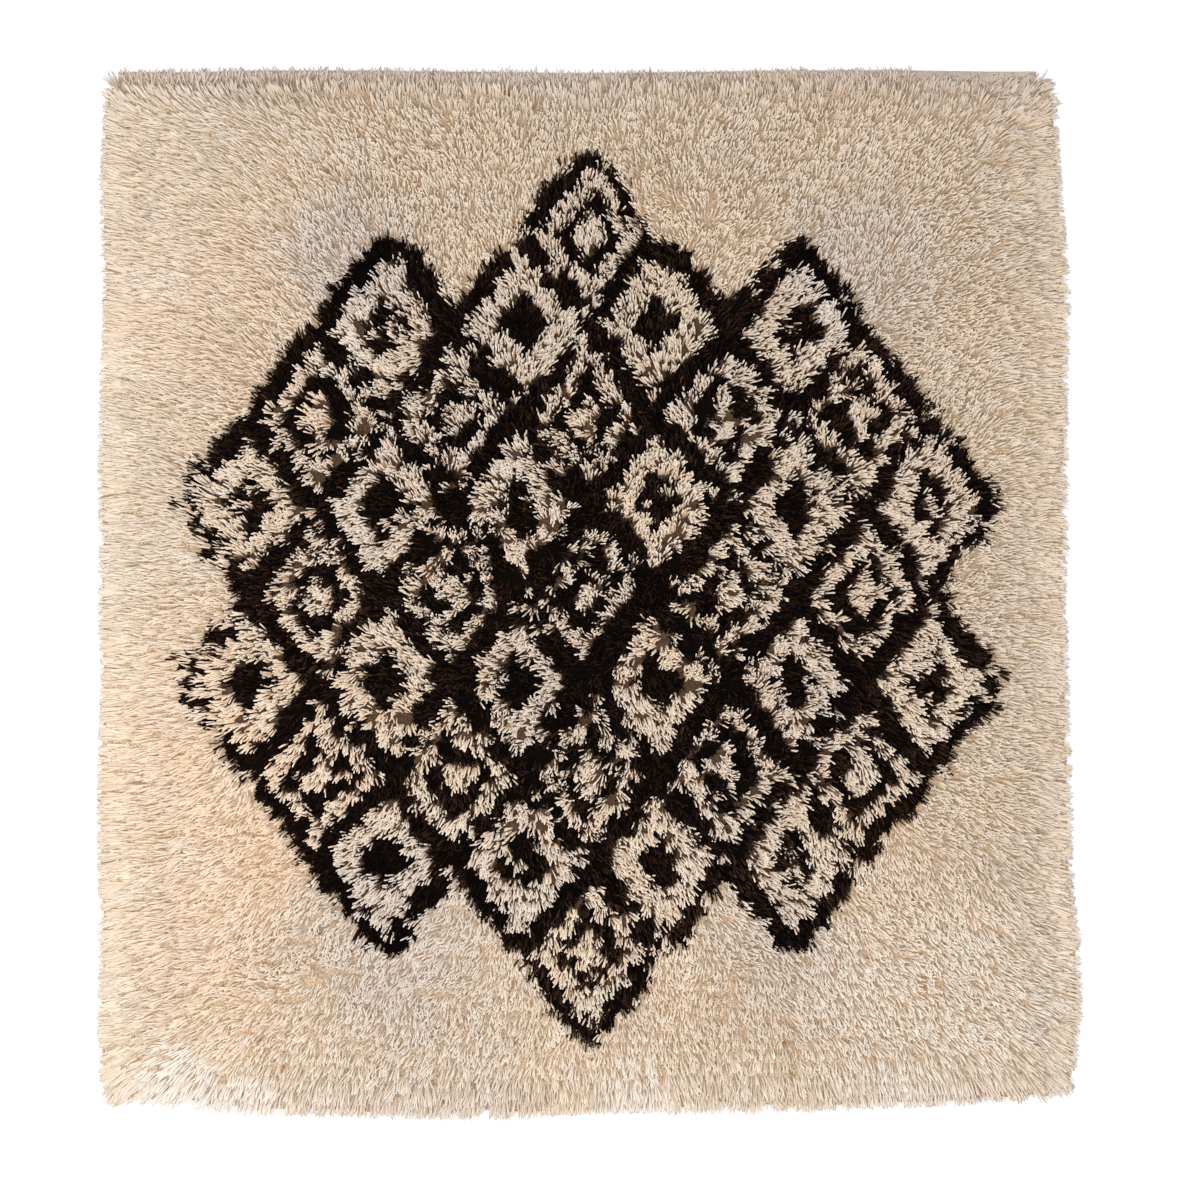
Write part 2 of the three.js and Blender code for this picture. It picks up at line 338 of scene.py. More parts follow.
def weave_group():
    """A plain weave of warp and weft: its relief, and a number for each thread's own tone."""
    net = Net(bpy.data.node_groups.new("plain_weave", "ShaderNodeTree"))
    given, put = net.sockets(
        [("Warp pitch", "Float", 0.0022), ("Weft pitch", "Float", 0.0026)],
        [("Height", "Float"), ("Thread", "Float")],
    )
    place = net.add("ShaderNodeTexCoord").outputs["Object"]
    bend = net.add("ShaderNodeTexNoise", {"Vector": place, "Scale": 7.0}).outputs["Color"]
    bend = net.vectors("SUBTRACT", bend, (0.5, 0.5, 0.5))
    place = net.vectors("MULTIPLY_ADD", bend, (0.006, 0.006, 0.0), place)
    x, y, _ = net.parts(place)
    warp = net.maths("DIVIDE", x, given["Warp pitch"])
    weft = net.maths("DIVIDE", y, given["Weft pitch"])
    warp_wave = net.maths("SINE", net.maths("MULTIPLY", warp, math.pi))
    weft_wave = net.maths("SINE", net.maths("MULTIPLY", weft, math.pi))
    over = net.maths("GREATER_THAN", net.maths("MULTIPLY", warp_wave, weft_wave), 0.0)
    warp_top = net.maths("MULTIPLY", over, net.maths("ABSOLUTE", warp_wave))
    under = net.maths("SUBTRACT", 1.0, over)
    weft_top = net.maths("MULTIPLY", under, net.maths("ABSOLUTE", weft_wave))
    put("Height", net.maths("ADD", warp_top, weft_top))
    threads = net.point(net.maths("FLOOR", warp), net.maths("FLOOR", weft))
    put("Thread", net.add("ShaderNodeTexWhiteNoise", {"Vector": threads}).outputs[0])
    return net.tree


# Materials


def new_material(name, roughness, sheen, gloss=0.1):
    """A material with its shader, and a net to add its nodes with."""
    material = bpy.data.materials.new(name)
    material.use_nodes = True
    shader = material.node_tree.nodes["Principled BSDF"]
    shader.inputs["Roughness"].default_value = roughness
    shader.inputs["Specular IOR Level"].default_value = gloss
    shader.inputs["Sheen Weight"].default_value = sheen
    shader.inputs["Sheen Roughness"].default_value = 0.5
    return material, Net(material.node_tree), shader


def bump(net, shader, height, strength, distance, soft=0.0):
    """Relief, on a normal that is turned upwards by a share, as fuzz spreads the light over its yarn."""
    normal = net.add("ShaderNodeNewGeometry").outputs["Normal"]
    normal = net.vectors("MULTIPLY", normal, (1 - soft, 1 - soft, 1 - soft))
    normal = net.vectors("NORMALIZE", net.vectors("ADD", normal, (0.0, 0.0, soft)))
    values = {"Height": height, "Strength": strength, "Distance": distance, "Normal": normal}
    net.put(shader.inputs["Normal"], net.add("ShaderNodeBump", values).outputs[0])


def wool(name, group, sheen, gloss, colours):
    """Dyed wool yarn in the given colours."""
    material, net, shader = new_material(name, 0.92, sheen, gloss)
    yarn = net.add("ShaderNodeGroup", node_tree=group)
    for socket, value in colours.items():
        yarn.inputs[socket].default_value = value
    net.put(shader.inputs["Base Color"], yarn.outputs["Colour"])
    bump(net, shader, yarn.outputs["Height"], 0.3, 0.0003, soft=0.5)
    return material


def bed_wool(name, cream, calm, grey, inside, brown):
    """The lower ends of the pile, cream or brown as the knots above them are, painted darker as the shade in
    the pile.
    """
    material, net, shader = new_material(name, 1.0, 0.0)
    place = net.add("ShaderNodeTexCoord").outputs["Object"]
    place = net.vectors("MULTIPLY", place, (1.0, 1.0, 0.35))
    ends = net.add("ShaderNodeTexVoronoi", {"Vector": place, "Scale": BED_ENDS_SCALE}).outputs
    colour = mixed(net, stored(net, "calm"), cream, calm)
    colour = mixed(net, stored(net, "greyed"), colour, grey)
    colour = mixed(net, stored(net, "inside"), colour, inside)
    ragged = net.maths("MULTIPLY_ADD", net.parts(ends["Color"])[0], 0.5, stored(net, "brown"))
    colour = mixed(net, net.maths("GREATER_THAN", ragged, BED_BROWN_FROM), colour, brown)
    own = mapped(net, net.parts(ends["Color"])[1], 0.0, 1.0, 0.75, 1.2)
    colour = mixed(net, 1.0, colour, net.point(own, own, own), "MULTIPLY")
    # Painted shade between the ends of yarn in the bed
    gap = mapped(net, ends["Distance"], 0.25, 0.8, 0.0, 1.0)
    painted_gap_shade = (0.62, 0.50, 0.36, 1)
    net.put(shader.inputs["Base Color"], mixed(net, gap, colour, painted_gap_shade, "MULTIPLY"))
    bump(net, shader, net.maths("MULTIPLY", ends["Distance"], -1.0), 0.4, 0.0015, soft=0.6)
    return material


def cream_wool(group):
    colours = {
        "Deep": (0.71, 0.57, 0.425, 1),
        "Pale": (0.875, 0.75, 0.60, 1),
        "Grey lot": (0.730, 0.635, 0.555, 1),
        "Warm lot": (0.88, 0.68, 0.51, 1),
        "Bleached": (0.92, 0.84, 0.75, 1),
        "Fleck": (0.42, 0.27, 0.15, 1),
        "Fleck share": 0.008,
        # Painted shade towards the roots of the ends
        "Root": (0.50, 0.36, 0.24, 1),
    }
    return wool("cream_wool", group, 0.15, 0.1, colours)


def brown_wool(group):
    colours = {
        "Deep": (0.0008, 0.0004, 0.0003, 1),
        "Pale": (0.085, 0.045, 0.027, 1),
        "Tone bias": 2.0,
        "Grey lot": (0.003, 0.002, 0.002, 1),
        "Warm lot": (0.012, 0.006, 0.003, 1),
        "Bleached": (0.008, 0.005, 0.004, 1),
        "Fleck": (0.10, 0.045, 0.02, 1),
        "Fleck share": 0.006,
        # Painted shade towards the roots of the ends
        "Root": (0.3, 0.25, 0.2, 1),
    }
    return wool("brown_wool", group, 0.0, 0.03, colours)


def ground_linen(name, group):
    """Undyed linen in a plain weave, a little soiled, with painted shade between its threads."""
    material, net, shader = new_material(name, 0.95, 0.1)
    weave = net.add("ShaderNodeGroup", node_tree=group)
    colour = mixed(net, weave.outputs["Thread"], (0.64, 0.51, 0.41, 1), (0.78, 0.65, 0.54, 1))
    soil = mapped(net, object_noise(net, 9.0, 4.0), 0.35, 0.65, 0.82, 1.05)
    # Painted shade: darker down between the threads
    gap = mapped(net, weave.outputs["Height"], 0.0, 0.6, 0.45, 1.0)
    shade = net.maths("MULTIPLY", soil, gap)
    colour = mixed(net, 1.0, colour, net.point(shade, shade, shade), "MULTIPLY")
    net.put(shader.inputs["Base Color"], colour)
    bump(net, shader, weave.outputs["Height"], 0.8, 0.0007)
    return material


def plain_floor(name):
    material, net, shader = new_material(name, 0.7, 0.0)
    grain = object_noise(net, 30.0, 3.0)
    net.put(shader.inputs["Base Color"], mixed(net, grain, (0.92, 0.92, 0.93, 1), (0.94, 0.94, 0.95, 1)))
    shader.inputs["Emission Color"].default_value = (1, 1, 1, 1)
    shader.inputs["Emission Strength"].default_value = 0.16
    bump(net, shader, grain, 0.05, 0.0005)
    return material


# The rug's outline, taken from the frame


class Side:
    """How far a CAD node reaches on one side, at any place along it. It is measured in steps and softened."""

    def __init__(self, node, name, step, soft=0.0):
        across = 0 if name in ("left", "right") else 1
        way = 1 if name in ("right", "top") else -1
        points = np.array([vertex.co[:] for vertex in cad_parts[node].data.vertices])
        out, at = way * points[:, across], points[:, 1 - across]
        ends = at.min(), at.max()
        count = round((ends[1] - ends[0]) / step)
        bins = np.clip(((at - ends[0]) / (ends[1] - ends[0]) * count).astype(int), 0, count - 1)
        reach = np.array([out[bins == k].max() for k in range(count)])
        padded = np.pad(reach, 1, mode="edge")
        self.reach = padded[1:-1] + soft * (padded[:-2] - 2 * padded[1:-1] + padded[2:])
        self.places = ends[0] + (np.arange(count) + 0.5) * (ends[1] - ends[0]) / count

    def at(self, place):
        return np.interp(place, self.places, self.reach)


SIDES = ("left", "right", "bottom", "top")
tips = {name: Side("knotted_pile", name, 0.06, 0.25) for name in SIDES}
edges = {name: Side("ground_cloth", name, 0.15) for name in SIDES}
cloth_low, cloth_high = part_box("ground_cloth")


def on_cloth(u, v, inset):
    """Places on the cloth for u and v from -1 to 1, inside its edges by an inset for each side."""
    nominal_x = cloth_low.x + (cloth_high.x - cloth_low.x) * (u + 1) / 2
    nominal_y = cloth_low.y + (cloth_high.y - cloth_low.y) * (v + 1) / 2
    left = inset["left"] - edges["left"].at(nominal_y)
    right = edges["right"].at(nominal_y) - inset["right"]
    bottom = inset["bottom"] - edges["bottom"].at(nominal_x)
    top = edges["top"].at(nominal_x) - inset["top"]
    return left + (right - left) * (u + 1) / 2, bottom + (top - bottom) * (v + 1) / 2


# The knots


def in_field(u, v):
    """Whether the lozenge with these numbers belongs to the drawing."""
    across, up = (u + v) / 2 * LOZENGE[0], (u - v) / 2 * LOZENGE[1]
    return np.hypot(across / FIELD[0], up / FIELD[1]) <= 1


def lattice(x, y):
    """Whether each knot is brown, how grey the cream wool of its lozenge is, and whether it is in one."""
    wave = drift(x, y, 0.06, 3.0) * LINE_WAVE, drift(x, y, 0.05, 7.0) * LINE_WAVE
    across, up = (x + wave[0]) / LOZENGE[0], (y + wave[1]) / LOZENGE[1]
    u, v = across + up, across - up
    cell_u, cell_v = np.round(u), np.round(v)
    off_u, off_v = u - cell_u, v - cell_v
    out = np.maximum(abs(off_u), abs(off_v))
    beside_u = np.where(abs(off_u) > abs(off_v), cell_u + np.sign(off_u), cell_u)
    beside_v = np.where(abs(off_u) > abs(off_v), cell_v, cell_v + np.sign(off_v))
    inside = in_field(cell_u, cell_v)
    line_half = LINE_HALF * (1.1 - 0.6 * np.hypot(x, y))  # finer towards the rim of the field
    brown = (out > 0.5 - line_half) & (inside | in_field(beside_u, beside_v))
    whole = (cell_u + cell_v) % 2 == 0
    ring = (out > RING[0]) & (out < RING[1])
    heart = (out > HEART[0]) & (out < HEART[1])
    brown |= inside & np.where(whole, ring, heart)
    count = 16  # more lozenges than lie in a row
    greys = np.random.default_rng(21).uniform(-0.5, 1.0, (count, count))
    grey = np.clip(greys[cell_u.astype(int) % count, cell_v.astype(int) % count], 0, 1)
    return brown, np.where(inside, grey, 0), inside


def pile_lean(x, y):
    """The way the pile leans at each knot, how far each side pulls it, and how near its edges are."""
    bare = HEM_BARE["breadth"] * ((x > HEM_BARE["from"]) & (x < HEM_BARE["to"]))
    near = {
        "left": tips["left"].at(y) + PAST_RIM["left"] + x,
        "right": tips["right"].at(y) + PAST_RIM["right"] - x,
        "bottom": tips["bottom"].at(x) + PAST_RIM["bottom"] + y,
        "top": edges["top"].at(x) + PAST_RIM["top"] - bare - y,
    }
    farther = 1 + (TOP_LEFT_COMBED - 1) * zone(y, *TOP_LEFT)
    pull = {}
    for name, (full, fade) in COMBED.items():
        pull[name] = smoothstep(1 - (near[name] - full) / (fade * (farther if name == "left" else 1)))
    out_x = (pull["right"] - pull["left"]) * (1 - 0.7 * pull["top"])
    out_y = pull["top"] - pull["bottom"] - 0.12 * pull["right"]
    swirl = drift(x, y, 0.16, 11.0), drift(x, y, 0.16, 17.0)
    tuft = drift(x, y, 0.034, 23.0), drift(x, y, 0.034, 29.0)
    lock_x, lock_y, _ = locks(x, y, LOCK_SIZE, 31)
    calm = 1 - 0.75 * np.maximum.reduce(list(pull.values()))
    turned_x = calm * (SWIRL * swirl[0] + TUFT * tuft[0])
    turned_y = calm * (SWIRL * swirl[1] + TUFT * tuft[1])
    lean_x = OUTWARDS * out_x + FROM_MIDDLE[0] * x + turned_x + LOCK_PULL * lock_x
    lean_y = OUTWARDS * out_y + FROM_MIDDLE[1] * y + turned_y + LOCK_PULL * lock_y
    return lean_x, lean_y, pull, near


def strip_slant(x):
    """How far the ends over the upper hem turn to the left of straight up."""
    level = np.zeros(len(x))
    _, _, chance = locks(x, level, STRIP_LOCK, 83)
    slant = 0.25 * drift(x, level, 0.05, 73.0) + 0.20 * np.clip(chance, -2, 2)
    return slant - 0.75 * zone(x, *STRIP_RIGHT) + 0.5 * zone(-x, *STRIP_LEFT)


def knot_places(rng):
    """Where the knots are, with the numbers of their columns and rows."""
    columns = round((cloth_high.x - cloth_low.x) / KNOT_PITCH)
    rows = round((cloth_high.y - cloth_low.y) / ROW_PITCH)
    u, v = (grid.ravel() for grid in np.meshgrid(np.linspace(-1, 1, columns), np.linspace(-1, 1, rows)))
    column, row = (grid.ravel() for grid in np.meshgrid(np.arange(columns), np.arange(rows)))
    x, y = on_cloth(u, v, KNOT_INSET)
    count = len(x)
    staggered = STAGGER * KNOT_PITCH * (row % 2 * 2 - 1) * (abs(u) < 1)
    x = x + rng.normal(0, STRAY["x"], count) + staggered
    y = y + rng.normal(0, STRAY["y"], count) + 0.0015 * drift(x, y, 0.2, 41.0)
    near_top = (row >= rows - TOP_STRIP_ROWS - UNEVEN_ROWS) & (row < rows - 1)
    y = y - abs(rng.normal(0, STRAY["y near the top"], count)) * near_top
    return x, y, column, row


def pile_lie(rng, x, y, strip):
    """How the pile lies at each knot, and how near the rug's top edge is."""
    count = len(x)
    lean_x, lean_y, pull, near = pile_lean(x, y)
    combed = np.maximum.reduce(list(pull.values()))
    _, _, lock_chance = locks(x, y, LOCK_SIZE, 31)

    # The lower part lies more calmly. The rows show at the lower left and, half as much, along the bottom.
    calm = np.maximum(combed, 0.55 * zone(-y, *CALM_BELOW))
    in_rows = zone(-x, *ROWS_LEFT) * zone(-y, *ROWS_LOWER)
    in_rows = np.maximum(in_rows, 0.5 * zone(-y, *ROWS_BOTTOM))
    loose = (1.1 - 0.5 * combed) * (1 - 0.15 * in_rows)
    # How strongly each knot's roots are painted with shade: less at the left and right sides and where the
    # pile lies calmly
    at_sides = ROOT_SHADE["left"] * pull["left"], ROOT_SHADE["right"] * pull["right"]
    shaded = ROOT_SHADE["middle"] - at_sides[0] - at_sides[1] - ROOT_SHADE["calm"] * calm

    strength = np.clip(np.hypot(lean_x, lean_y), 0, 1)
    azimuth = np.arctan2(lean_y, lean_x) + rng.normal(0, STRAY["azimuth"], count) * (1 - 0.6 * combed)
    azimuth = azimuth + LOCK_TWIST * np.clip(lock_chance, -2, 2) ** 3
    azimuth = np.where(strip, math.pi / 2 + strip_slant(x), azimuth)
    tilt = rng.normal(0, STRAY["tilt"], count) * (1 - 0.5 * combed)
    root_tilt = UPRIGHT_ROOT + (COMBED_ROOT - UPRIGHT_ROOT) * combed + 0.5 * tilt
    upright_tip = UPRIGHT_TIP * (0.55 + 0.75 * strength)
    tip_tilt = upright_tip + (COMBED_TIP - upright_tip) * combed + tilt

    length = 1 + 0.10 * drift(x, y, 0.055, 47.0) + rng.normal(0, STRAY["length"], count)
    length = length + 0.08 * strip * np.clip(lock_chance, -2, 1)
    length = np.clip(length, 0.8, 1.15) * (PILE_LENGTH + (RIM_LENGTH - PILE_LENGTH) * combed)
    out_x, out_y = np.cos(azimuth), np.sin(azimuth)
    room_x = np.where(out_x > 0, near["right"], near["left"]) / np.maximum(abs(out_x), 0.05)
    room_y = np.where(out_y > 0, near["top"], near["bottom"]) / np.maximum(abs(out_y), 0.05)
    lie = {
        "azimuth": azimuth,
        "root_tilt": np.clip(root_tilt, 0, None),
        "tip_tilt": tip_tilt,
        "length": length,
        "room": np.minimum(room_x, room_y),
        "loose": np.where(strip, 1.4, loose),
        "spread": 1 - 0.4 * in_rows,
        "in_rows": in_rows,
        "shaded": shaded,
        "combed": combed,
        "calm": calm,
    }
    return lie, near["top"]


def dye_drift(x, y):
    """How grey, warm and bleached the wool is at each place, before each knot's own chance."""
    grey, warm = 0.10 + 0.25 * drift(x, y, 0.11, 53.0), 0.18 + 0.22 * drift(x, y, 0.15, 59.0)
    for lot in DYE_LOTS:
        share = smoothstep(1.3 - np.hypot(x - lot["x"], y - lot["y"]) / lot["radius"])
        grey, warm = grey + share * lot["grey"], warm + share * lot["warm"] - share * lot["grey"]
    bleached = 0.10 + 0.20 * drift(x, y, 0.06, 67.0)
    for lot in BLEACHED:
        near_lot = smoothstep(1.4 - np.hypot(x - lot["x"], y - lot["y"]) / lot["radius"])
        bleached = bleached + lot["share"] * near_lot
    return grey, warm, bleached


def knot_field():
    """Every knot of the rug, as one array for each of its facts."""
    rng = np.random.default_rng(5)
    x, y, column, row = knot_places(rng)
    count = len(x)
    columns, rows = column.max() + 1, row.max() + 1
    strip = row >= rows - TOP_STRIP_ROWS
    lie, to_top = pile_lie(rng, x, y, strip)

    grey, warm, bleached = dye_drift(x, y)
    brown, lozenge_grey, inside = lattice(x, y)
    brown &= rng.random(count) > STRAY_KNOTS
    grey = grey + 0.6 * lozenge_grey
    # Towards the top edge the wool turns greyer, and over the upper hem its tone is lowered, as painted shade
    grey = grey + 0.7 * smoothstep(1 - (to_top - 0.030) / 0.045)
    warm = warm * ~strip
    tone = 0.5 + 0.35 * drift(x, y, 0.03, 61.0) - 0.4 * strip
    rim = (np.minimum(column, columns - 1 - column) < RIM_COLUMNS) | (row < RIM_ROWS)
    rim &= ~strip
    return {
        **lie,
        "x": x,
        "y": y,
        "shape": (rows, columns),
        "row": row,
        "rim": rim,
        "strip": strip,
        "brown": brown,
        "inside": inside,
        "shaded": np.where(strip | inside, ROOT_SHADE["drawing"], lie["shaded"]),
        "tone": np.clip(tone + rng.normal(0, STRAY["tone"], count), 0, 1),
        "greyed": np.clip(grey + rng.normal(0, STRAY["dye"], count), 0, 0.95),
        "warmed": np.clip(warm + rng.normal(0, STRAY["dye"], count), 0, 0.95),
        "bleached": np.clip(bleached + rng.normal(0, STRAY["dye"], count), 0, 0.9),
    }


# The pile


def yarn_end(name, rings, pointed):
    """The shape of one end of yarn, upright and of unit size: three-sided rings, then a soft point or a blunt
    cut. Its root is open, because it stands in the knot."""
    corners = [(math.cos(k * math.tau / 3), math.sin(k * math.tau / 3)) for k in range(3)]
    points = [(x * wide, y * wide, along) for along, wide in rings for x, y in corners]
    faces, places = [], []
    for ring in range(len(rings) - 1):
        low, high = rings[ring][0], rings[ring + 1][0]
        for side in range(3):
            a, b = 3 * ring + side, 3 * ring + (side + 1) % 3
            faces.append((a, b, b + 3, a + 3))
            places += [(side / 3, low), ((side + 1) / 3, low), ((side + 1) / 3, high), (side / 3, high)]
    last, first = rings[-1][0], 3 * (len(rings) - 1)
    if pointed:
        points.append((0, 0, 1))
        for side in range(3):
            faces.append((first + side, first + (side + 1) % 3, len(points) - 1))
            places += [(side / 3, last), ((side + 1) / 3, last), ((side + 0.5) / 3, 1)]
    else:
        # The cut lies above the sides on the map
        faces.append((first, first + 1, first + 2))
        places = [(along, 0.88 * up) for along, up in places] + [(0.1, 0.9), (0.9, 0.9), (0.5, 1.0)]
    mesh = new_mesh(name, points, faces)
    mesh.uv_layers.new(name=MAP_NAME).uv.foreach_set("vector", np.ravel(places))
    made = new_object(name, mesh)
    made.hide_render = True
    return made


def knotted_ends_tree():
    """Sets ends of yarn in every knot and bends each one the way the pile lies there."""
    net = Net(bpy.data.node_groups.new("knotted_ends", "GeometryNodeTree"))
    numbers = ("Knot width", "Knot depth", "Yarn radius", "Turn spread", "Lean spread", "Length spread")
    numbers += ("Sway", "Rim spread", "Drawn together", "Row shade")
    inputs = [("Knots", "Geometry"), ("Yarn end", "Object"), ("Ends per knot", "Int")]
    inputs += [(name, "Float") for name in numbers]
    inputs += [("Map cells", "Vector"), ("Seed", "Int"), ("Material", "Material")]
    given, put = net.sockets(inputs, [("Pile", "Geometry")])

    def store(geometry, name, value, kind="FLOAT", domain="POINT"):
        values = {"Geometry": geometry, "Name": name, "Value": value}
        return net.add("GeometryNodeStoreNamedAttribute", values, data_type=kind, domain=domain).outputs[0]

    def named(name, kind="FLOAT"):
        return net.add("GeometryNodeInputNamedAttribute", {"Name": name}, data_type=kind).outputs[0]

    def chance(low, high, turn, which):
        seed = net.maths("ADD", given["Seed"], turn)
        values = {2: low, 3: high, "ID": which, "Seed": seed}
        return net.add("FunctionNodeRandomValue", values, data_type="FLOAT").outputs[1]

    def either_way(spread, turn, which):
        return chance(net.maths("MULTIPLY", spread, -1.0), spread, turn, which)

    # The ends of each knot, spread a little round its middle
    knots = net.add("GeometryNodeMeshToPoints", {"Mesh": given["Knots"]}).outputs[0]
    values = {"Geometry": knots, "Amount": given["Ends per knot"]}
    ends = net.add("GeometryNodeDuplicateElements", values, domain="POINT").outputs[0]
    index = net.add("GeometryNodeInputIndex").outputs[0]
    ends = store(ends, "end", index, "INT")
    deep = net.maths("MULTIPLY", either_way(given["Knot depth"], 2, index), named("spread"))
    offset = net.point(either_way(given["Knot width"], 1, index), deep)
    ends = store(ends, "offset", offset, "FLOAT_VECTOR")
    ends = net.add("GeometryNodeSetPosition", {"Geometry": ends, "Offset": offset}).outputs[0]
    place = net.add("GeometryNodeInputPosition").outputs[0]
    ends = store(ends, "root", place, "FLOAT_VECTOR")
    upright = net.add("GeometryNodeObjectInfo", {"Object": given["Yarn end"]}).outputs["Geometry"]
    strands = net.add("GeometryNodeInstanceOnPoints", {"Points": ends, "Instance": upright}).outputs[0]
    strands = net.add("GeometryNodeRealizeInstances", {"Geometry": strands}).outputs[0]

    # How far each end turns and leans, and how long it is within the room that it has
    end = named("end", "INT")
    root = named("root", "FLOAT_VECTOR")
    local_x, local_y, along = net.parts(net.vectors("SUBTRACT", place, root))
    lean = net.maths("MULTIPLY", either_way(given["Lean spread"], 3, end), named("loose"))
    root_tilt = net.maths("MAXIMUM", net.maths("MULTIPLY_ADD", lean, 0.6, named("root_tilt")), 0.0)
    tip_tilt = net.maths("ADD", named("tip_tilt"), lean)
    root_sine, root_cosine = net.maths("SINE", root_tilt), net.maths("COSINE", root_tilt)
    sine_gain = net.maths("SUBTRACT", net.maths("SINE", tip_tilt), root_sine)
    cosine_gain = net.maths("SUBTRACT", net.maths("COSINE", tip_tilt), root_cosine)
    spare = net.maths("ADD", either_way(given["Length spread"], 4, end), 1.0)
    length = net.maths("MULTIPLY", named("length"), spare)
    turn = net.maths("MULTIPLY", either_way(given["Turn spread"], 8, end), named("loose"))
    azimuth = net.maths("ADD", named("azimuth"), turn)
    across, deep, _ = net.parts(named("offset", "FLOAT_VECTOR"))
    started = net.maths("MULTIPLY", across, net.maths("COSINE", azimuth))
    started = net.maths("MULTIPLY_ADD", deep, net.maths("SINE", azimuth), started)
    room = net.maths("ADD", named("room"), either_way(given["Rim spread"], 5, end))
    room = net.maths("SUBTRACT", room, started)
    shadow = net.maths("MAXIMUM", net.maths("MULTIPLY_ADD", sine_gain, 0.5, root_sine), 0.05)
    length = net.maths("MINIMUM", length, net.maths("DIVIDE", room, shadow))

    # Its bend: the heading changes evenly from the root to the tip
    half_square = net.maths("MULTIPLY", net.maths("MULTIPLY", along, along), 0.5)

    def run(start, gain):
        flat = net.maths("MULTIPLY", start, along)
        return net.maths("MULTIPLY", net.maths("MULTIPLY_ADD", gain, half_square, flat), length)

    def heading(start, gain):
        return net.maths("MULTIPLY_ADD", gain, along, start)

    ahead, rise = heading(root_sine, sine_gain), heading(root_cosine, cosine_gain)
    steep = net.vectors("NORMALIZE", net.point(ahead, rise))
    ahead, rise, _ = net.parts(steep)
    radius = net.maths("MULTIPLY", given["Yarn radius"], chance(0.8, 1.2, 6, end))
    thick_x, thick_y = net.maths("MULTIPLY", local_x, radius), net.maths("MULTIPLY", local_y, radius)
    swing = net.maths("MULTIPLY", either_way(given["Sway"], 7, end), length)
    swing = net.maths("MULTIPLY", swing, named("loose"))
    height = net.maths("MAXIMUM", run(root_cosine, cosine_gain), net.maths("MULTIPLY", radius, -1.0))
    bent = net.point(
        net.maths("MULTIPLY_ADD", thick_x, rise, run(root_sine, sine_gain)),
        net.maths("MULTIPLY_ADD", swing, half_square, thick_y),
        net.maths("SUBTRACT", height, net.maths("MULTIPLY", thick_x, ahead)),
    )
    turned = net.add("ShaderNodeVectorRotate", {"Vector": bent, "Angle": azimuth}, rotation_type="Z_AXIS")
    drawn_in = net.maths("MULTIPLY", net.maths("MULTIPLY", half_square, -2.0), given["Drawn together"])
    drawn_in = net.vectors("MULTIPLY", named("offset", "FLOAT_VECTOR"), net.point(drawn_in, drawn_in))
    position = net.vectors("ADD", net.vectors("ADD", root, turned.outputs[0]), drawn_in)

    # Its tone and chance, for the material. Where the rows show, its tone is painted darker at the lower ends
    # of a row and lighter at the upper ends, as shade between the rows.
    strands = store(strands, "along", along)
    knot_tone = net.maths("MULTIPLY", named("tone"), 0.45)
    tone = net.maths("MULTIPLY_ADD", chance(0.0, 1.0, 9, end), 0.55, knot_tone)
    row_side = net.maths("MULTIPLY", net.maths("DIVIDE", deep, given["Knot depth"]), named("in_rows"))
    tone = net.maths("MAXIMUM", net.maths("MULTIPLY_ADD", row_side, given["Row shade"], tone), 0.0)
    strands = store(strands, "tone", tone)
    strands = store(strands, "chance", chance(0.0, 1.0, 10, end))

    # Its own cell of the map
    columns, _, _ = net.parts(given["Map cells"])
    line = net.maths("FLOOR", net.maths("DIVIDE", end, columns))
    column = net.maths("SUBTRACT", end, net.maths("MULTIPLY", line, columns))
    inside = net.vectors("MULTIPLY_ADD", named(MAP_NAME, "FLOAT_VECTOR"), (0.8, 0.84, 0.0), (0.1, 0.08, 0.0))
    cell = net.vectors("ADD", inside, net.point(column, line))
    strands = store(strands, MAP_NAME, net.vectors("DIVIDE", cell, given["Map cells"]), "FLOAT2", "CORNER")
    strands = net.add("GeometryNodeSetPosition", {"Geometry": strands, "Position": position}).outputs[0]
    values = {"Geometry": strands, "Material": given["Material"]}
    put("Pile", net.add("GeometryNodeSetMaterial", values).outputs[0])
    return net.tree


def made_plain(source, helpers=()):
    """Turns what an object's modifiers make into a plain mesh, without the numbers that only helped."""
    graph = bpy.context.evaluated_depsgraph_get()
    mesh = bpy.data.meshes.new_from_object(
        source.evaluated_get(graph), preserve_all_data_layers=True, depsgraph=graph
    )
    name = source.name
    bpy.data.objects.remove(source)
    for helper in helpers:
        if helper in mesh.attributes:
            mesh.attributes.remove(mesh.attributes[helper])
    mesh.name = name
    return new_object(name, mesh)


def grown(source, tree, values):
    """Adds a tree to an object as a modifier and sets its inputs by their names."""
    modifier = source.modifiers.new(tree.name, "NODES")
    modifier.node_group = tree
    keys = {item.name: item.identifier for item in tree.interface.items_tree if item.in_out == "INPUT"}
    for name, value in values.items():
        modifier[keys[name]] = value
    return source


KNOT_HELPERS = ("azimuth", "root_tilt", "tip_tilt", "length", "room", "loose", "spread", "in_rows")
KNOT_FACTS = (*KNOT_HELPERS, "tone", "greyed", "warmed", "bleached", "shaded")
HELPERS = (*KNOT_HELPERS, "end", "root", "offset")


